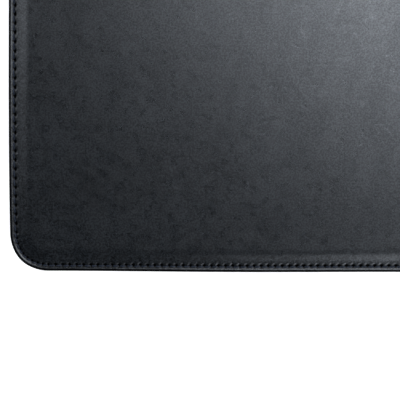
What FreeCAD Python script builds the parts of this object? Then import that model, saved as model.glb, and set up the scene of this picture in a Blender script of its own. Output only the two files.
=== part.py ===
import FreeCAD, Part
import math
import os
import Sketcher
from FreeCAD import Vector

# Stitched leather desk mat: a padded laminate whose face leather, stiffener board and anti-slip
# backing are bonded together, cut flush, sewn round the edge and sealed with edge paint.
# Frame: millimetres, +X along the long edge, +Y away from the user, +Z up,
# origin on the desk under the middle of the mat.

# The driving dimensions, in millimetres.
SIZES = {
    "mat_length": 800,  # overall, along X
    "mat_depth": 400,  # overall, along Y
    "corner_radius": 20,  # outside, in plan
    "coat_width": 0.8,  # edge paint, out from the cut edge of the layers
    "coat_round": 0.7,  # the bead's top and bottom outer corners
    "coat_base_gap": 0.2,  # from the desk up to the edge paint
    "coat_top_drop": 0.4,  # from the top of the face's rim down to the edge paint
    "backing_thickness": 0.8,
    "film_thickness": 0.1,  # each of the three adhesive films
    "board_thickness": 1.2,
    "face_thickness": 1.0,
    "face_edge_round": 0.5,  # the top edge of the face's rim
    "foam_thickness": 1.0,
    "foam_margin": 4.5,  # from the mat's outside to the foam's foot
    "foam_bevel": 4.0,  # width of the foam's skived edge
    "seam_margin": 3.1,  # from the mat's outside to the middle of the seam
    "needle_thread_size": 0.8,  # diameter
    "bobbin_thread_size": 0.5,  # diameter
    "needle_thread_sink": 0.5,  # depth of the channel under the needle thread
    "bobbin_thread_lift": 0.05,  # from the desk up to the bobbin thread
    "channel_clearance": 0.05,  # each side of a thread
}

# Positions as expressions of the spreadsheet's cells. Heights are of each layer's underside.
DESK = "0"
BACKING_FILM_Z = "Sizes.backing_thickness"
BOARD_Z = f"({BACKING_FILM_Z} + Sizes.film_thickness)"
BOARD_FILM_Z = f"({BOARD_Z} + Sizes.board_thickness)"
FACE_Z = f"({BOARD_FILM_Z} + Sizes.film_thickness)"
RIM_TOP = f"({FACE_Z} + Sizes.face_thickness)"
# Distances in from the mat's outside, and the lean of the foam's edge from the vertical.
OUTSIDE = "0"
CUT_EDGE = "Sizes.coat_width"
FOAM_EDGE = "Sizes.foam_margin"
FOAM_LEAN = "atan(Sizes.foam_bevel / Sizes.foam_thickness)"

# Sketcher's numbers for the points of a line or an arc, and for the sketch's own origin.
START, END, CENTRE = 1, 2, 3
ORIGIN = (-1, 1)

LEVEL = 1e-6  # an edge that rises less than this is level, in mm
SMALLEST_CUT = 1.0  # a pocket removes at least this volume, in cubic mm

doc = FreeCAD.newDocument("desk_mat")


def make_sizes():
    """The spreadsheet of driving dimensions."""
    sheet = doc.addObject("Spreadsheet::Sheet", "Sizes")
    for row, (alias, value) in enumerate(SIZES.items(), start=1):
        sheet.set(f"A{row}", alias)
        sheet.set(f"B{row}", str(value))
        sheet.setAlias(f"B{row}", alias)
    doc.recompute()


def make_body(label):
    body = doc.addObject("PartDesign::Body", label)
    body.Label = label
    return body


def new_sketch(body, name, plane, offset):
    """An empty sketch parallel to one of the body's origin planes, offset along its normal."""
    sketch = body.newObject("Sketcher::SketchObject", f"{body.Label}_{name}")
    planes = {feature.Role: feature for feature in body.Origin.OriginFeatures}
    sketch.AttachmentSupport = [(planes[plane], "")]
    sketch.MapMode = "FlatFace"
    sketch.setExpression(".AttachmentOffset.Base.z", offset)
    return sketch


def size_by(sketch, name, kind, points, expression):
    """Adds a named dimension that follows an expression."""
    value = sketch.evalExpression(expression)
    number = sketch.addConstraint(Sketcher.Constraint(kind, *points, value))
    sketch.renameConstraint(number, name)
    sketch.setExpression(f"Constraints.{name}", expression)


def add_outline(sketch, name, inset):
    """Adds the mat's rounded rectangle, moved in from its outside by the expression inset."""
    length = f"Sizes.mat_length - 2 * {inset}"
    depth = f"Sizes.mat_depth - 2 * {inset}"
    corner_radius = f"Sizes.corner_radius - {inset}"
    radius = sketch.evalExpression(corner_radius)
    reach_x = sketch.evalExpression(length) / 2 - radius
    reach_y = sketch.evalExpression(depth) / 2 - radius
    centres = [
        Vector(reach_x, reach_y, 0),
        Vector(-reach_x, reach_y, 0),
        Vector(-reach_x, -reach_y, 0),
        Vector(reach_x, -reach_y, 0),
    ]
    arcs = []
    lines = []
    for i, centre in enumerate(centres):
        circle = Part.Circle(centre, Vector(0, 0, 1), radius)
        start, end = i * math.pi / 2, (i + 1) * math.pi / 2
        arc = Part.ArcOfCircle(circle, start, end)
        arcs.append(sketch.addGeometry(arc, False))
        outward = Vector(math.cos(end), math.sin(end), 0) * radius
        side = Part.LineSegment(centre + outward, centres[(i + 1) % 4] + outward)
        lines.append(sketch.addGeometry(side, False))
    for i, line in enumerate(lines):
        next_arc = arcs[(i + 1) % 4]
        direction = "Vertical" if i % 2 else "Horizontal"
        sketch.addConstraint(Sketcher.Constraint("Tangent", arcs[i], END, line, START))
        sketch.addConstraint(Sketcher.Constraint("Tangent", line, END, next_arc, START))
        sketch.addConstraint(Sketcher.Constraint(direction, line))
    for arc in arcs[1:]:
        sketch.addConstraint(Sketcher.Constraint("Equal", arcs[0], arc))
    opposite = (arcs[0], CENTRE, arcs[2], CENTRE)
    sketch.addConstraint(Sketcher.Constraint("Symmetric", *opposite, *ORIGIN))
    size_by(sketch, f"{name}_length", "DistanceX", (lines[1], END, lines[3], START), length)
    size_by(sketch, f"{name}_depth", "DistanceY", (lines[2], END, lines[0], START), depth)
    size_by(sketch, f"{name}_radius", "Radius", (arcs[0],), corner_radius)


def extrude(body, kind, name, sketch, length, lean=None):
    """A Pad or a Pocket up from its sketch, with walls that lean in by the expression lean."""
    feature = body.newObject(f"PartDesign::{kind}", f"{body.Label}_{name}")
    feature.Profile = sketch
    feature.setExpression("Length", length)
    feature.Reversed = kind == "Pocket"  # a Pocket otherwise runs down from its sketch
    if lean:
        feature.setExpression("TaperAngle", f"-{lean}")
    return feature


def round_rims(body, pad, at_bottom, radius):
    """Rounds the level edges round the top of a plain pad, and round its bottom too."""
    doc.recompute()
    top = pad.Shape.BoundBox.ZMax
    rims = []
    for number, edge in enumerate(pad.Shape.Edges, start=1):
        is_level = edge.BoundBox.ZLength < LEVEL
        is_top = edge.BoundBox.ZMax > top - LEVEL
        if is_level and (is_top or at_bottom):
            rims.append(f"Edge{number}")
    rounds = body.newObject("PartDesign::Fillet", f"{body.Label}_rounds")
    rounds.Base = (pad, rims)
    rounds.setExpression("Radius", radius)


def make_layer(label, underside, thickness, inset=CUT_EDGE):
    """A flat sheet with the mat's outline, and the pad that makes it."""
    body = make_body(label)
    sketch = new_sketch(body, "outline", "XY_Plane", underside)
    add_outline(sketch, "outline", inset)
    return body, extrude(body, "Pad", "sheet", sketch, thickness)


def rise_over_foam(body, kind, name, underside, step):
    """Adds or cuts the foam's shape: a straight step up from underside, then the foam's own."""
    foot = underside
    if step:
        sketch = new_sketch(body, f"{name}_step_outline", "XY_Plane", underside)
        add_outline(sketch, "step", FOAM_EDGE)
        extrude(body, kind, f"{name}_step", sketch, step)
        foot = f"({underside} + {step})"
    sketch = new_sketch(body, f"{name}_outline", "XY_Plane", foot)
    add_outline(sketch, "foot", FOAM_EDGE)
    extrude(body, kind, name, sketch, "Sizes.foam_thickness", FOAM_LEAN)


def drape(body, underside, thickness, step=None):
    """Raises the middle of a flat sheet over the foam, and over what is on the foam."""
    rise_over_foam(body, "Pad", "raised", f"({underside} + {thickness})", step)
    rise_over_foam(body, "Pocket", "hollow", underside, step)


def cut_channel(body, underside, depth, thread_size):
    """Cuts a seam's channel round the sheet, from underside up."""
    half_width = f"({thread_size} / 2 + Sizes.channel_clearance)"
    sketch = new_sketch(body, "channel_outline", "XY_Plane", underside)
    add_outline(sketch, "outer", f"(Sizes.seam_margin - {half_width})")
    add_outline(sketch, "inner", f"(Sizes.seam_margin + {half_width})")
    extrude(body, "Pocket", "channel", sketch, depth)


def make_backing():
    """The anti-slip backing, with the bobbin thread's channel in its underside."""
    body, _ = make_layer("backing", DESK, "Sizes.backing_thickness")
    depth = "(Sizes.bobbin_thread_lift + Sizes.bobbin_thread_size)"
    cut_channel(body, DESK, depth, "Sizes.bobbin_thread_size")


def make_foam():
    """The foam pad, its edge skived down to nothing."""
    body = make_body("foam_pad")
    rise_over_foam(body, "Pad", "pad", FACE_Z, None)


def make_foam_film():
    """The adhesive film over the top and the skived edge of the foam."""
    body, _ = make_layer("foam_film", FACE_Z, "Sizes.film_thickness", FOAM_EDGE)
    drape(body, FACE_Z, "Sizes.film_thickness")


def make_face():
    """The face leather: a flat rim that carries the seam, raised over the foam inside it."""
    body, rim = make_layer("face_leather", FACE_Z, "Sizes.face_thickness")
    round_rims(body, rim, False, "Sizes.face_edge_round")
    drape(body, FACE_Z, "Sizes.face_thickness", "Sizes.film_thickness")
    channel_z = f"({RIM_TOP} - Sizes.needle_thread_sink)"
    cut_channel(body, channel_z, "Sizes.needle_thread_sink", "Sizes.needle_thread_size")


def make_edge_coat():
    """The bead of edge paint round the cut edges of the layers."""
    body = make_body("edge_coat")
    height = f"({RIM_TOP} - Sizes.coat_top_drop - Sizes.coat_base_gap)"
    outside = new_sketch(body, "outside", "XY_Plane", "Sizes.coat_base_gap")
    add_outline(outside, "outside", OUTSIDE)
    bead = extrude(body, "Pad", "bead", outside, height)
    round_rims(body, bead, True, "Sizes.coat_round")
    inside = new_sketch(body, "inside", "XY_Plane", "Sizes.coat_base_gap")
    add_outline(inside, "inside", CUT_EDGE)
    extrude(body, "Pocket", "cut_edge", inside, height)


def make_thread(label, underside, size):
    """A seam's thread, as one round ring along the middle of the seam."""
    body = make_body(label)
    axis = f"({underside} + {size} / 2)"
    path = new_sketch(body, "path", "XY_Plane", axis)
    add_outline(path, "seam", "Sizes.seam_margin")
    # The section stands where the long side's first corner begins. The plane's normal is -Y.
    corner_y = "(Sizes.mat_depth / 2 - Sizes.corner_radius)"
    section = new_sketch(body, "section", "XZ_Plane", f"-{corner_y}")
    out = "Sizes.mat_length / 2 - Sizes.seam_margin"
    centre = Vector(section.evalExpression(out), section.evalExpression(axis), 0)
    circle = Part.Circle(centre, Vector(0, 0, 1), section.evalExpression(size) / 2)
    thread = section.addGeometry(circle, False)
    size_by(section, "out", "DistanceX", (*ORIGIN, thread, CENTRE), out)
    size_by(section, "up", "DistanceY", (*ORIGIN, thread, CENTRE), axis)
    size_by(section, "across", "Diameter", (thread,), size)
    ring = body.newObject("PartDesign::AdditivePipe", f"{label}_ring")
    ring.Profile = section
    ring.Spine = path


def make_mat():
    make_backing()
    make_layer("backing_film", BACKING_FILM_Z, "Sizes.film_thickness")
    make_layer("stiffener_board", BOARD_Z, "Sizes.board_thickness")
    make_layer("board_film", BOARD_FILM_Z, "Sizes.film_thickness")
    make_foam()
    make_foam_film()
    make_face()
    make_edge_coat()
    needle_z = f"({RIM_TOP} - Sizes.needle_thread_sink)"
    make_thread("needle_thread", needle_z, "Sizes.needle_thread_size")
    make_thread("bobbin_thread", "Sizes.bobbin_thread_lift", "Sizes.bobbin_thread_size")
    doc.recompute()


def check_features():
    """Stops the build at a failed object, a loose sketch or a pocket that cut nothing."""
    for item in doc.Objects:
        if "Invalid" in item.State or "Error" in item.State:
            raise RuntimeError(f"{item.Label} failed: {item.State}")
        if item.TypeId == "Sketcher::SketchObject" and not item.FullyConstrained:
            raise RuntimeError(f"{item.Label} isn't fully constrained")
        if item.TypeId == "PartDesign::Pocket":
            removed = item.BaseFeature.Shape.Volume - item.Shape.Volume
            if removed < SMALLEST_CUT:
                raise RuntimeError(f"{item.Label} cut nothing")


def check_body(body):
    """Stops the build unless the body is one sound solid."""
    shape = body.Shape
    if shape.isNull() or not shape.isValid():
        raise RuntimeError(f"{body.Label} has no valid shape")
    if len(shape.Solids) != 1:
        raise RuntimeError(f"{body.Label} is {len(shape.Solids)} solids")
    box = shape.optimalBoundingBox(False)
    size = f"{box.XLength:.2f} x {box.YLength:.2f} x {box.ZLength:.2f} mm"
    print(f"{body.Label}: {size} from z = {box.ZMin:.2f}, {shape.Volume:.0f} cubic mm")


make_sizes()
make_mat()
check_features()
bodies = [item for item in doc.Objects if item.TypeId == "PartDesign::Body"]
for body in bodies:
    check_body(body)
os.makedirs("parts", exist_ok=True)
for body in bodies:
    body.Shape.exportStep(f"parts/{body.Label}.step")
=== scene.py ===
import math
import bpy
import numpy as np
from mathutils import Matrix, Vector, noise


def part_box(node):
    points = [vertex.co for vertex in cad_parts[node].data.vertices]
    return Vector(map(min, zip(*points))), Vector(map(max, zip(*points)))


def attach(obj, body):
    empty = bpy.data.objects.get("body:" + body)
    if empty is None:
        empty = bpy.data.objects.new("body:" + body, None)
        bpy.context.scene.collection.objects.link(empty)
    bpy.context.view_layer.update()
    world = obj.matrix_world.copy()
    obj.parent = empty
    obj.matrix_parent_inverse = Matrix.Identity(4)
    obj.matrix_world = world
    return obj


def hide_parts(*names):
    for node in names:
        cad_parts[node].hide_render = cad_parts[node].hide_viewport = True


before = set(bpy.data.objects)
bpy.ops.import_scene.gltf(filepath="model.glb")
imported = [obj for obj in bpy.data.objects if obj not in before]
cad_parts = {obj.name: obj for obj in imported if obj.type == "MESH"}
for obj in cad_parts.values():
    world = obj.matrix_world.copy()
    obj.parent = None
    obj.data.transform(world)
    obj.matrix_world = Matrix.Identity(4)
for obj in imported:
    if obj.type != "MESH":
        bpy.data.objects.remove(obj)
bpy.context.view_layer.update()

# Looks of the stitched leather desk mat. Lengths are in millimetres, and MM turns them into
# Blender's metres. A ring is a closed line of points round the mat, counter-clockwise from
# above, at one distance in from the mat's outside.
MM = 0.001
SEED = 7
TAU = 2 * math.pi

# Sizes that the CAD nodes' boxes don't give.
CORNER_RADIUS = 20.0
SEAM_MARGIN = 3.1
FOAM_BEVEL = 4.0


def node_box(node):
    """The lowest and highest corners of a CAD node, in millimetres."""
    low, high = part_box(node)
    return np.array(low) / MM, np.array(high) / MM


OUTSIDE = node_box("edge_coat")[1][:2]
CUT_EDGE = OUTSIDE[0] - node_box("face_leather")[1][0]
FOAM_MARGIN = OUTSIDE[0] - node_box("foam_pad")[1][0]
FACE_LOW, FACE_TOP = (corner[2] for corner in node_box("face_leather"))
FOAM_LOW, FOAM_TOP = (corner[2] for corner in node_box("foam_pad"))
COAT_LOW, COAT_TOP = (corner[2] for corner in node_box("edge_coat"))
BACKING_TOP = node_box("backing")[1][2]
NEEDLE_LOW, NEEDLE_TOP = (corner[2] for corner in node_box("needle_thread"))
BOBBIN_LOW, BOBBIN_TOP = (corner[2] for corner in node_box("bobbin_thread"))
FOAM_THICKNESS = FOAM_TOP - FOAM_LOW
FILM_THICKNESS = node_box("foam_film")[1][2] - FOAM_TOP
RIM_TOP = FACE_TOP - FOAM_THICKNESS - FILM_THICKNESS

# The seam, in stitches: two long sides, two short sides and four corners.
LONG_STITCHES = 214
SHORT_STITCHES = 79
CORNER_STITCHES = 9
STITCHES = 2 * (LONG_STITCHES + SHORT_STITCHES) + 4 * CORNER_STITCHES
STITCH_LENGTH = 3.6  # on the long sides
STITCH_JITTER = 0.035  # of a stitch's length

# Columns of points per stitch, as shares of the stitch. A needle hole is at 0.
FINE = np.array([0.0, 0.1, 0.3, 0.5, 0.7, 0.9])
MEDIUM = FINE[::2]
COARSE = FINE[:1]


# ---------------------------------------------------------------- the outline

TUCK = 0.62  # how far each side has drawn in at its ends


def long_side_tuck(distance):
    """How far a long side has drawn in, at a distance from its end."""
    return TUCK * np.exp(-((distance / 52.0) ** 2))


def short_side_tuck(distance):
    """How far a short side has drawn in, at a distance from its end."""
    return TUCK * np.exp(-distance / 24.0)


def corner_tuck(share):
    """How far a corner has drawn in, at a share of the way round it."""
    least = 0.27
    return least + (TUCK - least) * (1 - np.sin(share * math.pi) ** 4)


def seam_places(count, columns, rng):
    """Places along a section of the seam, from 0 to 1, for each stitch's columns."""
    holes = np.arange(count + 1, dtype=float)
    holes[1:-1] += rng.uniform(-STITCH_JITTER, STITCH_JITTER, count - 1)
    lengths = np.diff(holes)
    return ((holes[:-1, None] + lengths[:, None] * columns) / count).ravel()


def walk(columns):
    """Points round the mat's outside, and the unit vectors that point in from them."""
    rng = np.random.default_rng(SEED)
    feet = []
    inwards = []
    for side in range(4):
        turn = side * math.pi / 2
        run = np.array([math.cos(turn), math.sin(turn)])
        into = np.array([-math.sin(turn), math.cos(turn)])
        is_long = side % 2 == 0
        half_run = OUTSIDE[0 if is_long else 1] - CORNER_RADIUS
        half_out = OUTSIDE[1 if is_long else 0]
        count = LONG_STITCHES if is_long else SHORT_STITCHES
        share = seam_places(count, columns, rng)
        along = half_run * (2 * share - 1)
        tuck = (long_side_tuck if is_long else short_side_tuck)(half_run - np.abs(along))
        feet.append(np.outer(along, run) + np.outer(tuck - half_out, into))
        inwards.append(np.tile(into, (len(share), 1)))
        share = seam_places(CORNER_STITCHES, columns, rng)
        angle = turn + (share - 1) * math.pi / 2
        outward = np.stack([np.cos(angle), np.sin(angle)], axis=1)
        centre = run * half_run - into * (half_out - CORNER_RADIUS)
        feet.append(centre + outward * (CORNER_RADIUS - corner_tuck(share))[:, None])
        inwards.append(-outward)
    feet = np.concatenate(feet)
    inwards = np.concatenate(inwards)
    around = np.arange(len(feet)) / len(feet) * TAU
    wander = 0.09 + 0.05 * np.sin(11 * around + 1.3) + 0.04 * np.sin(23 * around + 4.0)
    return feet + inwards * wander[:, None], inwards


WALKS = {len(columns): walk(columns) for columns in (FINE, MEDIUM, COARSE)}


def ring_at(inset, columns):
    """The points of a ring, as an N by 2 array."""
    feet, inwards = WALKS[len(columns)]
    return feet + inwards * np.reshape(inset, (-1, 1))


def stitch_shares(columns):
    """Each point's place in its own stitch, from 0 at one hole towards 1 at the next."""
    return np.tile(columns, STITCHES)


def rectangle_ring(inset):
    """A plain rectangle with as many points as there are stitches, evenly spread on each side."""
    half = OUTSIDE - inset
    to_corner = CORNER_STITCHES // 2
    counts = [LONG_STITCHES + CORNER_STITCHES, SHORT_STITCHES + CORNER_STITCHES] * 2
    corners = [(-1, -1), (1, -1), (1, 1), (-1, 1), (-1, -1)]
    points = []
    for start, end, count in zip(corners, corners[1:], counts):
        share = np.arange(count)[:, None] / count
        points.append(half * ((1 - share) * start + share * np.array(end)))
    return np.roll(np.concatenate(points), to_corner - CORNER_STITCHES, axis=0)


def rectangle_corners():
    """Where the rectangle's four corners are in its ring, from the front left one."""
    to_corner = CORNER_STITCHES // 2
    long_count = LONG_STITCHES + CORNER_STITCHES
    short_count = SHORT_STITCHES + CORNER_STITCHES
    first = to_corner - CORNER_STITCHES
    return first, first + long_count, first + long_count + short_count


# ---------------------------------------------------------------- mesh building

class Skin:
    """Gathers the points and faces of one closed sheet, ring by ring."""

    def __init__(self):
        self.points = []
        self.dulled_and_shaded = []
        self.faces = []
        self.total = 0

    def add(self, flat, height, dull_and_shade=0.0):
        """Adds points at a height, one number or one each, and returns their numbers."""
        heights = np.broadcast_to(height, (len(flat),))
        self.points.append(np.column_stack([flat, heights]))
        self.dulled_and_shaded.append(np.broadcast_to(dull_and_shade, (len(flat),)))
        numbers = np.arange(self.total, self.total + len(flat))
        self.total += len(flat)
        return numbers

    def join(self, first, second):
        """Joins two rings with faces. One may have several times the points of the other."""
        if len(first) == len(second):
            quads = np.stack([first, np.roll(first, -1), np.roll(second, -1), second], axis=1)
            self.faces.extend(map(tuple, quads.tolist()))
        elif len(first) > len(second):
            self.fan(first, second, False)
        else:
            self.fan(second, first, True)

    def fan(self, fine, coarse, flipped):
        """Joins a fine ring to a coarse one with triangles."""
        step = len(fine) // len(coarse)
        fine = fine.tolist()
        coarse = coarse.tolist()
        for i, this_one in enumerate(coarse):
            next_one = coarse[(i + 1) % len(coarse)]
            span = [fine[(i * step + j) % len(fine)] for j in range(step + 1)]
            middle = (step + 1) // 2
            triangles = [(span[middle], next_one, this_one)]
            triangles += [(a, b, this_one) for a, b in zip(span[:middle], span[1:])]
            triangles += [(a, b, next_one) for a, b in zip(span[middle:], span[middle + 1:])]
            self.faces.extend(t[::-1] if flipped else t for t in triangles)

    def chain(self, rings):
        """Joins each ring to the next."""
        for first, second in zip(rings, rings[1:]):
            self.join(first, second)

    def cap(self, ring, upward):
        """Closes a flat ring with one face."""
        order = ring if upward else ring[::-1]
        self.faces.append(tuple(order.tolist()))

    def fill_rectangle(self, ring, height_at, upward):
        """Fills a rectangle's ring with a grid of quads."""
        front, right, back = rectangle_corners()
        ring = np.roll(ring, -front)
        columns = right - front
        rows = back - right
        grid = np.empty((rows + 1, columns + 1), dtype=int)
        grid[0] = ring[:columns + 1]
        grid[:, -1] = ring[columns:columns + rows + 1]
        grid[-1] = ring[columns + rows:2 * columns + rows + 1][::-1]
        grid[:, 0] = np.append(ring[2 * columns + rows:], ring[0])[::-1]
        flat = np.concatenate(self.points)[:, :2]
        low, high = flat[grid[0, 0]], flat[grid[-1, -1]]
        x, y = np.meshgrid(
            np.linspace(low[0], high[0], columns + 1)[1:-1],
            np.linspace(low[1], high[1], rows + 1)[1:-1],
        )
        inner = np.column_stack([x.ravel(), y.ravel()])
        numbers = self.add(inner, height_at(inner))
        grid[1:-1, 1:-1] = numbers.reshape(rows - 1, columns - 1)
        quads = np.stack([grid[:-1, :-1], grid[:-1, 1:], grid[1:, 1:], grid[1:, :-1]], axis=-1)
        quads = quads.reshape(-1, 4)
        if not upward:
            quads = quads[:, ::-1]
        self.faces.extend(map(tuple, quads.tolist()))

    def finish(self, name, material):
        """Makes the object, and keeps how much gloss each point has lost and how much painted
        shade it takes.
        """
        piece = make_object(name, np.concatenate(self.points), self.faces, material)
        dulled_and_shaded = piece.data.attributes.new("dullness_and_shade", "FLOAT", "POINT")
        dulled_and_shaded.data.foreach_set("value", np.concatenate(self.dulled_and_shaded))
        return piece


def make_object(name, points, faces, material):
    """A smooth-shaded mesh object from points in millimetres."""
    mesh = bpy.data.meshes.new(name)
    mesh.from_pydata((points * MM).tolist(), [], faces)
    mesh.polygons.foreach_set("use_smooth", [True] * len(mesh.polygons))
    mesh.materials.append(material)
    mesh.update()
    piece = bpy.data.objects.new(name, mesh)
    bpy.context.scene.collection.objects.link(piece)
    return piece


def smooth_step(value):
    """0 up to 0 and 1 from 1, with a soft start and end."""
    value = np.clip(value, 0, 1)
    return value * value * (3 - 2 * value)


def bump_at(distance, width):
    """A bell of height 1 at distance 0."""
    return np.exp(-((distance / width) ** 2))


def wrinkle_noise(flat, size, offset):
    """Smooth noise from about -1 to 1 with hills of the given size, one number for each point."""
    return np.array([noise.noise(Vector((x / size, y / size, offset))) for x, y in flat])


# ---------------------------------------------------------------- face leather

HOLE_INSET = SEAM_MARGIN + 0.1
HOLE_MIDDLE = HOLE_INSET + 0.12  # the thread fills the outer side of a hole
HOLE_SIZE = 0.62
HOLE_DEPTH = 0.45
GROOVE_DEPTH = 0.42
GROOVE_INSET = SEAM_MARGIN - 0.5
PAINTED_TO = 1.0  # edge paint that has crept onto the leather
CROWN_INSET = 1.1
SHOULDER_FOOT = 3.9
SHOULDER_CREST = 10.6
FIELD_START = 12.5  # from here in, the face has one column of points per stitch
GRID_INSET = 48.0
CREASED_PLACE = (-357.0, -158.0)
CREASED_REACH = 27.0


def padded_height(inset):
    """The face's height across its rim and padded shoulder, before the seam pulls it down."""
    shoulder = smooth_step((inset - SHOULDER_FOOT) / (SHOULDER_CREST - SHOULDER_FOOT))
    round_off = np.clip((CROWN_INSET - inset) / (CROWN_INSET - CUT_EDGE), 0, 1)
    edge_drop = 0.35 * (1 - np.sqrt(1 - 0.999 * round_off ** 2))
    return RIM_TOP - 0.04 + (FACE_TOP - RIM_TOP - 0.12) * shoulder - edge_drop


def seam_dip(inset, share):
    """How far the seam pulls the face down, at an inset and a share of a stitch."""
    to_hole = np.minimum(share, 1 - share)
    groove = GROOVE_DEPTH * bump_at(inset - GROOVE_INSET, 0.75)
    pucker = 0.02 * np.cos(TAU * to_hole) * bump_at(inset - SEAM_MARGIN, 1.6)
    return groove + HOLE_DEPTH * punched(inset, share) + pucker


def punched(inset, share):
    """1 in the middle of a needle hole, falling to 0 outside it."""
    along = np.minimum(share, 1 - share) * STITCH_LENGTH
    across = inset - HOLE_MIDDLE
    return np.exp(-(((along ** 2 + across ** 2) / HOLE_SIZE ** 2) ** 2))


def dullness_and_shade(inset, share):
    """How much gloss the leather has lost, all in a hole and under paint and some in the groove;
    the same share darkens the colour, as painted shade in the holes and the groove and as black
    edge paint under paint.
    """
    in_groove = 0.5 * bump_at(inset - GROOVE_INSET, 0.95)
    under_paint = np.where(inset < PAINTED_TO, 0.65, 0.0)
    in_hole = np.sqrt(punched(inset, share))
    return np.maximum(np.maximum(in_hole, in_groove), under_paint)


def corner_gather(flat, inset):
    """Low radial folds where the face is eased round the corners."""
    to_centre = OUTSIDE - CORNER_RADIUS
    local = np.abs(flat) - to_centre
    in_corner = smooth_step((local.min(axis=1) + 6) / 10)
    angle = np.arctan2(local[:, 1], local[:, 0])
    folds = np.sin(26 * angle + 1.5 * wrinkle_noise(flat, 9, 2.0))
    return 0.05 * folds * in_corner * bump_at(inset - 6.5, 3.2)


def field_swell(flat):
    """The slow unevenness of leather over soft foam."""
    broad = 0.075 * wrinkle_noise(flat, 58, 0.0)
    middling = 0.05 * wrinkle_noise(flat * (1.0, 0.72), 21, 5.0)
    small = 0.022 * wrinkle_noise(flat, 9, 9.0)
    return broad + middling + small


def face_height(flat, inset, share):
    """The height of the face's top at points with these insets and shares of a stitch."""
    swell = field_swell(flat) * smooth_step((inset - 4) / 8)
    height = padded_height(inset) - seam_dip(inset, share) + swell
    height = height + corner_gather(flat, inset)
    return np.minimum(height, FACE_TOP)


def face_ring(skin, inset, columns):
    """Adds one ring of the face's top to the skin."""
    flat = ring_at(inset, columns)
    insets = np.full(len(flat), float(inset))
    shares = stitch_shares(columns)
    return skin.add(flat, face_height(flat, insets, shares), dullness_and_shade(insets, shares))


def make_face(material):
    """The face leather as one closed sheet: its underside, its cut edge and its grained top."""
    skin = Skin()
    foam_crest = FOAM_MARGIN + FOAM_BEVEL
    under = [
        skin.add(ring_at(foam_crest, COARSE), FACE_LOW + FOAM_THICKNESS + FILM_THICKNESS),
        skin.add(ring_at(FOAM_MARGIN, COARSE), FACE_LOW),
        skin.add(ring_at(2.0, COARSE), FACE_LOW),
        skin.add(ring_at(CUT_EDGE, FINE), FACE_LOW),
    ]
    skin.cap(under[0], upward=False)
    fine_insets = [CUT_EDGE, 0.86, 0.96, CROWN_INSET, 1.4, 1.75, 2.15, 2.7, 3.1, 3.45, 3.75, 4.2]
    fine = [face_ring(skin, inset, FINE) for inset in fine_insets]
    medium = [face_ring(skin, inset, MEDIUM) for inset in (4.9, 5.6, 6.4, 7.3, 8.3)]
    coarse = [face_ring(skin, inset, COARSE) for inset in (9.6, 11.0, FIELD_START)]
    outer = ring_at(FIELD_START, COARSE)
    inner = rectangle_ring(GRID_INSET)
    steps = 10
    for step in range(1, steps + 1):
        share = step / steps
        flat = (1 - share) * outer + share * inner
        coarse.append(skin.add(flat, field_height(flat)))
    skin.chain(under + fine + medium + coarse)
    skin.fill_rectangle(coarse[-1], field_height, upward=True)
    return skin.finish("face_leather_skin", material)


def field_height(flat):
    """The face's height well inside the seam."""
    far_in = np.full(len(flat), GRID_INSET)
    return face_height(flat, far_in, np.full(len(flat), 0.5))


# ---------------------------------------------------------------- backing, foam, edge paint

def backing_height(inset, share):
    """The backing's underside: flat, drawn up along the seam and a little more at each hole."""
    to_hole = np.minimum(share, 1 - share)
    channel = BOBBIN_TOP * bump_at(inset - SEAM_MARGIN, 0.42)
    pucker = 0.12 * bump_at(to_hole, 0.16) * bump_at(inset - SEAM_MARGIN, 1.1)
    edge = 0.25 * bump_at(inset - CUT_EDGE, 0.35)
    return channel + pucker + edge


def make_backing(material):
    """The anti-slip backing, its suede side down."""
    skin = Skin()
    far = 14.0
    grid = skin.add(rectangle_ring(GRID_INSET), 0.0)
    skin.fill_rectangle(grid, lambda flat: np.zeros(len(flat)), upward=False)
    rings = [grid, skin.add(ring_at(far, COARSE), 0.0)]
    for inset in (6.0, 4.4, 3.8, 3.45, 3.1, 2.75, 2.4, 1.9, 1.3, CUT_EDGE):
        height = backing_height(inset, stitch_shares(MEDIUM))
        rings.append(skin.add(ring_at(inset, MEDIUM), height))
    rings.append(skin.add(ring_at(CUT_EDGE, MEDIUM), BACKING_TOP))
    rings.append(skin.add(ring_at(far, COARSE), BACKING_TOP))
    skin.chain(rings)
    skin.cap(rings[-1], upward=True)
    return skin.finish("backing_suede", material)


def make_foam(material):
    """The foam pad, with its edge skived down and softly rounded at the crest."""
    skin = Skin()
    crest = FOAM_MARGIN + FOAM_BEVEL
    rings = [skin.add(ring_at(crest + 6, COARSE), FOAM_LOW)]
    rings.append(skin.add(ring_at(FOAM_MARGIN, COARSE), FOAM_LOW))
    skin.cap(rings[0], upward=False)
    for share in (0.08, 0.3, 0.55, 0.8, 0.95, 1.1, 1.4):
        flat = ring_at(FOAM_MARGIN + FOAM_BEVEL * share, COARSE)
        rise = min(share, 1 - 0.25 * (1.4 - share) ** 2)
        uneven = 0.02 * (1 + wrinkle_noise(flat, 6, 3.0)) * min(share, 1)
        rings.append(skin.add(flat, FOAM_LOW + FOAM_THICKNESS * rise - uneven))
    grid = skin.add(rectangle_ring(GRID_INSET), FOAM_TOP - 0.02)
    rings.append(grid)
    skin.chain(rings)
    skin.fill_rectangle(grid, foam_top_height, upward=True)
    return skin.finish("foam_pad_core", material)


def foam_top_height(flat):
    """The foam's slightly uneven top."""
    return FOAM_TOP - 0.02 - 0.015 * (1 + wrinkle_noise(flat, 14, 4.0))


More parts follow.
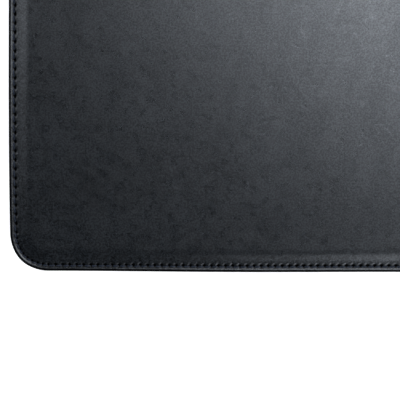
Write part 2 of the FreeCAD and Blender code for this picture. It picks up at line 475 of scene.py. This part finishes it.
def make_edge_coat(material):
    """The bead of edge paint, brushed on by hand and a little uneven."""
    skin = Skin()
    feet, _ = WALKS[len(MEDIUM)]
    uneven = wrinkle_noise(feet, 17, 6.0) + 0.6 * wrinkle_noise(feet, 3.5, 7.0)
    middle = (COAT_LOW + COAT_TOP) / 2 + 0.06
    half_height = (COAT_TOP - COAT_LOW) / 2 - 0.06
    inner = CUT_EDGE + 0.2
    rings = []
    for angle in np.radians([-90, -62, -38, -18, 0, 18, 38, 62, 90]):
        squareness = 0.55
        out = abs(math.cos(angle)) ** squareness
        up = math.copysign(abs(math.sin(angle)) ** squareness, angle)
        inset = inner * (1 - out) + 0.03 * (1 + uneven) * out
        height = middle + half_height * up + 0.05 * uneven * max(up, 0)
        rings.append(skin.add(ring_at(inset, MEDIUM), height))
    rings.append(skin.add(ring_at(inner + 0.1, MEDIUM), middle))
    skin.chain(rings + rings[:1])
    return skin.finish("edge_paint_bead", material)


# ---------------------------------------------------------------- threads

PLIES = 3
TWIST_LENGTH = 2.6  # along the thread, for one turn of the plies


def thread_tube(path, radius, sides):
    """The points of a tube of twisted plies round an N by 3 path."""
    ahead = np.gradient(path, axis=0)
    ahead /= np.linalg.norm(ahead, axis=1)[:, None]
    across = np.cross(ahead, np.tile([0.0, 0.0, 1.0], (len(path), 1)))
    steep = np.linalg.norm(across, axis=1)
    middle = len(path) // 2
    across[steep < 0.2] = across[middle]
    across /= np.linalg.norm(across, axis=1)[:, None]
    above = np.cross(across, ahead)
    travelled = np.append(0, np.cumsum(np.linalg.norm(np.diff(path, axis=0), axis=1)))
    twist = TAU * travelled / TWIST_LENGTH
    angles = np.arange(sides) / sides * TAU
    lobes = np.abs(np.cos(PLIES / 2 * (angles[None, :] - twist[:, None])))
    reach = radius * (0.80 + 0.20 * lobes)
    points = path[:, None, :] + reach[:, :, None] * (
        np.cos(angles)[None, :, None] * across[:, None, :]
        + np.sin(angles)[None, :, None] * above[:, None, :]
    )
    return points.reshape(-1, 3)


def tube_faces(length, sides, start):
    """Faces of a tube of rings of points, closed at both ends."""
    faces = []
    for i in range(length - 1):
        for j in range(sides):
            k = (j + 1) % sides
            low, high = start + i * sides, start + (i + 1) * sides
            faces.append((low + j, high + j, high + k, low + k))
    faces.append(tuple(start + j for j in range(sides)))
    faces.append(tuple(start + (length - 1) * sides + j for j in reversed(range(sides))))
    return faces


def stitch_path(start, end, inward, shape, rng):
    """The middle line of one stitch from hole to hole, N by 3."""
    share = np.linspace(0, 1, shape["points"])
    flat = (1 - share)[:, None] * start + share[:, None] * end
    arch = np.sin(math.pi * share)
    lean = shape["bulge"] * arch ** 0.7 + shape["slant"] * (share - 0.5) * arch
    lean = lean + rng.uniform(-0.05, 0.05) * arch
    flat = flat + lean[:, None] * inward
    lift = arch ** shape["squareness"]
    height = shape["deep"] + (shape["crest"] + rng.uniform(-0.03, 0.03) - shape["deep"]) * lift
    return np.column_stack([flat, height])


def make_thread(name, shape, material):
    """A whole seam of separate stitches."""
    rng = np.random.default_rng(SEED)
    holes = ring_at(HOLE_INSET, COARSE)
    _, inwards = WALKS[len(COARSE)]
    points = []
    faces = []
    for i in range(STITCHES):
        j = (i + 1) % STITCHES
        inward = (inwards[i] + inwards[j]) / 2
        path = stitch_path(holes[i], holes[j], inward, shape, rng)
        faces.extend(tube_faces(len(path), shape["sides"], i * len(path) * shape["sides"]))
        points.append(thread_tube(path, shape["radius"], shape["sides"]))
    return make_object(name, np.concatenate(points), faces, material)


def make_needle_thread(material):
    """The upper thread: each stitch lies on the face and dives into a hole at both ends."""
    radius = (NEEDLE_TOP - NEEDLE_LOW) / 2
    shape = {
        "points": 13,
        "sides": 9,
        "radius": radius,
        "bulge": -0.6,
        "slant": 0.35,
        "squareness": 0.7,
        "deep": RIM_TOP - 2.0,
        "crest": NEEDLE_TOP - radius - 0.12,
    }
    return make_thread("needle_thread_stitches", shape, material)


def make_bobbin_thread(material):
    """The lower thread: flatter stitches in the backing's channel."""
    radius = (BOBBIN_TOP - BOBBIN_LOW) / 2
    shape = {
        "points": 9,
        "sides": 6,
        "radius": radius,
        "bulge": 0.0,
        "slant": -0.25,
        "squareness": 0.35,
        "deep": BACKING_TOP + 0.4,
        "crest": BOBBIN_LOW + radius,
    }
    return make_thread("bobbin_thread_stitches", shape, material)


# ---------------------------------------------------------------- materials

class Nodes:
    """A small helper that adds nodes to a material and links them."""

    def __init__(self, name):
        self.material = bpy.data.materials.new(name)
        self.material.use_nodes = True
        self.tree = self.material.node_tree
        self.shader = self.tree.nodes["Principled BSDF"]
        coordinates = self.tree.nodes.new("ShaderNodeTexCoord")
        self.position = coordinates.outputs["Object"]

    def add(self, kind, inputs=None, **settings):
        node = self.tree.nodes.new(kind)
        for key, value in settings.items():
            setattr(node, key, value)
        for key, value in (inputs or {}).items():
            self.feed(node.inputs[key], value)
        return node

    def feed(self, socket, value):
        if isinstance(value, bpy.types.NodeSocket):
            self.tree.links.new(value, socket)
        else:
            socket.default_value = value

    def stretch(self, scale, rotation=0.0):
        """The object's coordinates turned about Z and then scaled by three numbers."""
        turned = self.add(
            "ShaderNodeVectorRotate",
            {"Vector": self.position, "Angle": rotation},
            rotation_type="Z_AXIS",
        )
        scaled = self.add(
            "ShaderNodeVectorMath",
            {0: turned.outputs[0], 1: scale},
            operation="MULTIPLY",
        )
        return scaled.outputs[0]

    def noise(self, size, detail=2.0, roughness=0.5, vector=None, distortion=0.0):
        """Noise with features of about the given size in millimetres."""
        inputs = {
            "Vector": vector or self.position,
            "Scale": 1 / (size * MM),
            "Detail": detail,
            "Roughness": roughness,
            "Distortion": distortion,
        }
        return self.add("ShaderNodeTexNoise", inputs).outputs["Fac"]

    def cells(self, size, feature="DISTANCE_TO_EDGE"):
        """Cells of about the given size in millimetres."""
        inputs = {"Vector": self.position, "Scale": 1 / (size * MM)}
        node = self.add("ShaderNodeTexVoronoi", inputs, feature=feature)
        return node.outputs["Distance"]

    def math(self, operation, first, second=0.0):
        """A sum, a product or another operation on two values."""
        node = self.add("ShaderNodeMath", {0: first, 1: second}, operation=operation)
        return node.outputs[0]

    def span(self, value, low, high, to_low=0.0, to_high=1.0, smooth=False):
        """The value taken from low..high to to_low..to_high, and kept between them."""
        inputs = {
            "Value": value,
            "From Min": low,
            "From Max": high,
            "To Min": to_low,
            "To Max": to_high,
        }
        kind = "SMOOTHSTEP" if smooth else "LINEAR"
        node = self.add("ShaderNodeMapRange", inputs, interpolation_type=kind)
        return node.outputs["Result"]

    def blend(self, share, first, second):
        """A colour between two colours."""
        node = self.add("ShaderNodeMix", data_type="RGBA")
        self.feed(node.inputs["Factor"], share)
        self.feed(node.inputs["A"], first)
        self.feed(node.inputs["B"], second)
        return node.outputs["Result"]

    def bump(self, height, depth, under=None):
        """A bump of the given depth in millimetres."""
        inputs = {"Height": height, "Distance": depth * MM}
        node = self.add("ShaderNodeBump", inputs)
        if under:
            self.feed(node.inputs["Normal"], under)
        return node.outputs["Normal"]

    def shade(self, **inputs):
        """Feeds the shader's inputs, named in lower case, and gives the finished material."""
        names = {key: key.replace("_", " ").title() for key in inputs}
        for key, value in inputs.items():
            self.feed(self.shader.inputs[names[key]], value)
        return self.material


def grey(value, blue=1.0):
    """A grey, with more blue where blue is above 1."""
    return (value, value, value * blue, 1.0)


def near(nodes, place, reach):
    """1 at a place on the mat, in millimetres, falling to 0 at the given reach."""
    centre = tuple(number * MM for number in (*place, FACE_TOP))
    node = nodes.add(
        "ShaderNodeVectorMath", {0: nodes.position, 1: centre}, operation="DISTANCE"
    )
    return nodes.span(node.outputs["Value"], 0.35 * reach * MM, reach * MM, 1.0, 0.0)


def soft_folds(nodes, size, slope):
    """Rounded folds that run one way across the leather, from 0 in a fold to 1."""
    vector = nodes.stretch((0.38, 1.0, 1.0), slope)
    field = nodes.noise(size, 2.0, 0.5, vector, 0.4)
    apart = nodes.math("ABSOLUTE", nodes.math("SUBTRACT", field, 0.5))
    return nodes.math("SMOOTH_MIN", nodes.math("MULTIPLY", apart, 9.0), 1.0)


def make_leather():
    """Black nappa: fine flecked grain, soft mottling, a few folds near a corner, uneven gloss,
    and painted shade in the grain's cracks, the folds, the needle holes and the seam groove.
    """
    nodes = Nodes("black_nappa_leather")
    grain = nodes.span(nodes.cells(1.1), 0.0, 0.2, smooth=True)
    pebbles = nodes.noise(1.5, 1.0, 0.5)
    pores = nodes.span(nodes.noise(0.42, 3.0, 0.6), 0.3, 0.75)
    flecks = nodes.noise(0.8, 0.0, 0.5)
    mottle = nodes.noise(5.0, 1.5, 0.5)
    brushed = nodes.noise(9.0, 3.0, 0.55, nodes.stretch((1.0, 0.4, 1.0), 0.15))
    cloud = nodes.noise(26.0, 3.0, 0.5)
    folds = soft_folds(nodes, 9.0, 0.75)
    by_corner = near(nodes, CREASED_PLACE, CREASED_REACH)
    folds = nodes.math("MAXIMUM", folds, nodes.math("SUBTRACT", 1.0, by_corner))
    normal = nodes.bump(mottle, 0.02)
    normal = nodes.bump(folds, 0.02, under=normal)
    normal = nodes.bump(pebbles, 0.02, under=normal)
    normal = nodes.bump(grain, 0.01, under=normal)
    normal = nodes.bump(pores, 0.01, under=normal)
    dull_and_shade = nodes.add("ShaderNodeAttribute", attribute_name="dullness_and_shade").outputs["Fac"]
    glossy_and_unshaded = nodes.span(dull_and_shade, 0.0, 0.65, 1.0, 0.0)
    light = (0.0115, 0.0141, 0.0170, 1)
    dark = (0.0006, 0.0009, 0.0013, 1)
    painted_crack_shade = (0.0026, 0.0034, 0.0042, 1)
    tone = nodes.math("ADD", flecks, nodes.math("MULTIPLY", cloud, 0.25))
    colour = nodes.blend(nodes.span(tone, 0.49, 0.77), dark, light)
    # painted shade: the grain's cracks and the folds are darkened towards the crack colour
    raised = nodes.math("MULTIPLY", nodes.math("ADD", grain, folds), 0.5)
    colour = nodes.blend(raised, painted_crack_shade, colour)
    # painted shade: the needle holes and the seam groove are darkened to near black here; under
    # the edge paint the same black is the paint's own
    colour = nodes.blend(glossy_and_unshaded, grey(0.0005), colour)
    patches = nodes.math("ADD", flecks, nodes.math("MULTIPLY", brushed, 0.5))
    speckle = nodes.span(patches, 0.5, 1.0, 0.39, 0.61)
    shine = nodes.math("MULTIPLY", speckle, glossy_and_unshaded)
    gloss = nodes.math("ADD", mottle, nodes.math("MULTIPLY", pores, 0.3))
    rough = nodes.span(gloss, 0.4, 1.0, 0.26, 0.34)
    nodes.shader.inputs["IOR"].default_value = 1.5
    nodes.feed(nodes.shader.inputs["Specular IOR Level"], shine)
    return nodes.shade(base_color=colour, roughness=rough, normal=normal)


def make_thread_material():
    """Black bonded polyester with a faint blue cast and a waxy sheen on the plies."""
    nodes = Nodes("black_polyester_thread")
    fibres = nodes.noise(0.12, 3.0, 0.6)
    tint = nodes.noise(5.0, 2.0)
    colour = nodes.blend(tint, (0.008, 0.0125, 0.023, 1), (0.015, 0.022, 0.038, 1))
    rough = nodes.span(fibres, 0.2, 0.8, 0.5, 0.7)
    normal = nodes.bump(fibres, 0.03)
    nodes.shader.inputs["Specular IOR Level"].default_value = 0.3
    return nodes.shade(base_color=colour, roughness=rough, normal=normal)


def make_edge_paint():
    """Dull black edge paint with brush marks along the edge."""
    nodes = Nodes("black_edge_paint")
    streaks = nodes.noise(0.5, 3.0, 0.6, nodes.stretch((0.2, 0.2, 2.0)))
    lumps = nodes.noise(3.0, 2.0)
    colour = nodes.blend(lumps, grey(0.001), grey(0.002))
    rough = nodes.span(streaks, 0.3, 0.7, 0.5, 0.72)
    normal = nodes.bump(streaks, 0.04, under=nodes.bump(lumps, 0.08))
    nodes.shader.inputs["Specular IOR Level"].default_value = 0.04
    return nodes.shade(base_color=colour, roughness=rough, normal=normal)


def make_suede():
    """Dark microfibre suede: a short nap with lighter brushed patches."""
    nodes = Nodes("dark_microfibre_suede")
    nap = nodes.noise(0.22, 4.0, 0.7)
    brushed = nodes.noise(14.0, 4.0, 0.6, nodes.stretch((1.0, 0.45, 1.0), 0.5))
    tufts = nodes.noise(1.1, 3.0, 0.6)
    share = nodes.math("MULTIPLY", nodes.math("ADD", brushed, tufts), 0.5)
    colour = nodes.blend(nodes.span(share, 0.3, 0.7), grey(0.030, 1.1), grey(0.062, 1.1))
    normal = nodes.bump(nap, 0.12, under=nodes.bump(tufts, 0.10))
    nodes.shader.inputs["Roughness"].default_value = 0.95
    nodes.shader.inputs["Sheen Weight"].default_value = 0.35
    nodes.shader.inputs["Sheen Roughness"].default_value = 0.5
    nodes.shader.inputs["Specular IOR Level"].default_value = 0.15
    return nodes.shade(base_color=colour, normal=normal)


def make_foam_material():
    """Grey closed-cell foam with fine pores."""
    nodes = Nodes("grey_closed_cell_foam")
    pores = nodes.span(nodes.cells(0.55, feature="F1"), 0.1, 0.7)
    patches = nodes.noise(6.0, 3.0)
    # painted shade: the foam is darker in the middle of each pore
    colour = nodes.blend(pores, grey(0.06), grey(0.15, 1.04))
    colour = nodes.blend(nodes.math("MULTIPLY", patches, 0.3), colour, grey(0.2))
    nodes.shader.inputs["Roughness"].default_value = 0.9
    return nodes.shade(base_color=colour, normal=nodes.bump(pores, 0.15))


def make_board_material():
    """Bonded fibreboard: brown-grey with short pressed fibres and flecks."""
    nodes = Nodes("bonded_fibreboard")
    fibres = nodes.noise(0.8, 5.0, 0.7, nodes.stretch((1.0, 0.3, 1.0), 0.4))
    flecks = nodes.span(nodes.cells(1.6, feature="F1"), 0.0, 0.5)
    colour = nodes.blend(fibres, (0.30, 0.25, 0.19, 1), (0.50, 0.43, 0.35, 1))
    colour = nodes.blend(nodes.span(flecks, 0.0, 0.25, 0.5, 0.0), colour, (0.16, 0.13, 0.10, 1))
    nodes.shader.inputs["Roughness"].default_value = 0.85
    return nodes.shade(base_color=colour, normal=nodes.bump(fibres, 0.08))


def make_adhesive_material():
    """Cured film adhesive: straw coloured, rippled, half glossy."""
    nodes = Nodes("cured_adhesive_film")
    ripples = nodes.noise(2.4, 3.0, 0.55, distortion=0.5)
    tint = nodes.noise(18.0, 3.0)
    colour = nodes.blend(tint, (0.70, 0.64, 0.50, 1), (0.80, 0.76, 0.66, 1))
    rough = nodes.span(ripples, 0.3, 0.7, 0.22, 0.42)
    return nodes.shade(base_color=colour, roughness=rough, normal=nodes.bump(ripples, 0.05))


def make_floor_material():
    """Pale matt studio paper."""
    nodes = Nodes("pale_studio_floor")
    tone = nodes.noise(400.0, 2.0)
    nodes.shader.inputs["Roughness"].default_value = 0.9
    nodes.shader.inputs["Specular IOR Level"].default_value = 0.1
    nodes.shader.inputs["Emission Color"].default_value = (1.0, 1.0, 1.0, 1.0)
    nodes.shader.inputs["Emission Strength"].default_value = 0.85
    return nodes.shade(base_color=nodes.blend(tone, grey(0.86), grey(0.89)))


# ---------------------------------------------------------------- studio

VIEW_CENTRE = (-304.0, -163.75)
VIEW_WIDTH = 200.0
CAMERA_HEIGHT = 900.0
FLOOR_GAP = 0.05  # keeps the floor clear of the backing

# Lights, in metres and watts.
LIGHT_COLOUR = (0.88, 0.94, 1.03)
BOX_DISTANCE = 0.8
BOX_SIZE = 0.35
RING_DISTANCE = 2.6
RING_SIZE = 2.4
RING_POWER = 6.5
RING_ZENITH = 70


def make_camera():
    """A long lens straight above the front left corner."""
    data = bpy.data.cameras.new("camera")
    data.sensor_width = 36.0
    data.lens = data.sensor_width * (CAMERA_HEIGHT - FACE_TOP) / VIEW_WIDTH
    data.clip_end = 100.0
    camera = bpy.data.objects.new("camera", data)
    camera.location = (VIEW_CENTRE[0] * MM, VIEW_CENTRE[1] * MM, CAMERA_HEIGHT * MM)
    bpy.context.scene.collection.objects.link(camera)
    bpy.context.scene.camera = camera


def make_floor():
    """One large square of studio paper under the mat."""
    half = 20.0
    mesh = bpy.data.meshes.new("floor")
    corners = [(-half, -half, 0), (half, -half, 0), (half, half, 0), (-half, half, 0)]
    mesh.from_pydata(corners, [], [(0, 1, 2, 3)])
    mesh.materials.append(make_floor_material())
    floor = bpy.data.objects.new("floor", mesh)
    floor.location.z = -FLOOR_GAP * MM
    bpy.context.scene.collection.objects.link(floor)


def make_light(name, azimuth, zenith, distance, size, power, target=(0.0, 0.0)):
    """A square soft box that the camera doesn't see. Azimuth is from +X towards +Y, and
    zenith is from straight up, both in degrees."""
    data = bpy.data.lights.new(name, "AREA")
    data.shape = "SQUARE"
    data.size = size
    data.energy = power
    data.color = LIGHT_COLOUR
    light = bpy.data.objects.new(name, data)
    across = math.sin(math.radians(zenith))
    offset = Vector((
        across * math.cos(math.radians(azimuth)),
        across * math.sin(math.radians(azimuth)),
        math.cos(math.radians(zenith)),
    ))
    aim = Vector((target[0] * MM, target[1] * MM, 0))
    light.location = aim + offset * distance
    light.rotation_euler = offset.to_track_quat("Z", "Y").to_euler()
    light.visible_camera = False
    bpy.context.scene.collection.objects.link(light)


def make_lights():
    """Small soft boxes round the camera, and a ring of large low ones for a sheen at a slant."""
    boxes = {
        "key_back": (60, 27, 2.90),
        "key_right": (30, 27, 1.15),
        "key_high": (60, 20, 0.20),
        "right_fill": (308, 39, 1.85),
        "left_fill": (145, 40, 1.15),
    }
    for name, (azimuth, zenith, power) in boxes.items():
        make_light(name, azimuth, zenith, BOX_DISTANCE, BOX_SIZE, power, target=VIEW_CENTRE)
    for azimuth in range(15, 360, 60):
        make_light("low_ring", azimuth, RING_ZENITH, RING_DISTANCE, RING_SIZE, RING_POWER)


def make_world():
    """Pale to the camera, and no light on anything."""
    world = bpy.data.worlds.new("studio")
    world.use_nodes = True
    tree = world.node_tree
    background = tree.nodes["Background"]
    background.inputs["Color"].default_value = (1.0, 1.0, 1.0, 1.0)
    path = tree.nodes.new("ShaderNodeLightPath")
    strength = tree.nodes.new("ShaderNodeMapRange")
    strength.inputs["To Min"].default_value = 0.0
    strength.inputs["To Max"].default_value = 0.95
    tree.links.new(path.outputs["Is Camera Ray"], strength.inputs["Value"])
    tree.links.new(strength.outputs["Result"], background.inputs["Strength"])
    bpy.context.scene.world = world


# ---------------------------------------------------------------- the whole mat

def dress_node(node, material):
    """Gives a CAD node that stays as it is its own material."""
    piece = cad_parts[node]
    piece.data.materials.clear()
    piece.data.materials.append(material)


def make_mat():
    """Makes the detailed pieces, puts each under the root body and hides the CAD node it stands
    for, and dresses the nodes that stay.
    """
    leather = make_leather()
    thread = make_thread_material()
    pieces = {
        "face_leather": (make_face(leather), "face_leather"),
        "needle_thread": (make_needle_thread(thread), "thread"),
        "edge_coat": (make_edge_coat(make_edge_paint()), "edge_paint"),
        "foam_pad": (make_foam(make_foam_material()), "foam"),
        "backing": (make_backing(make_suede()), "suede"),
        "bobbin_thread": (make_bobbin_thread(thread), "thread"),
    }
    for node, (piece, slot) in pieces.items():
        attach(piece, "root")
        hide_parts(node)
    adhesive = make_adhesive_material()
    for node in ("foam_film", "board_film", "backing_film"):
        dress_node(node, adhesive)
    dress_node("stiffener_board", make_board_material())


make_mat()
make_camera()
make_floor()
make_lights()
make_world()
bpy.context.scene.view_settings.view_transform = "Standard"
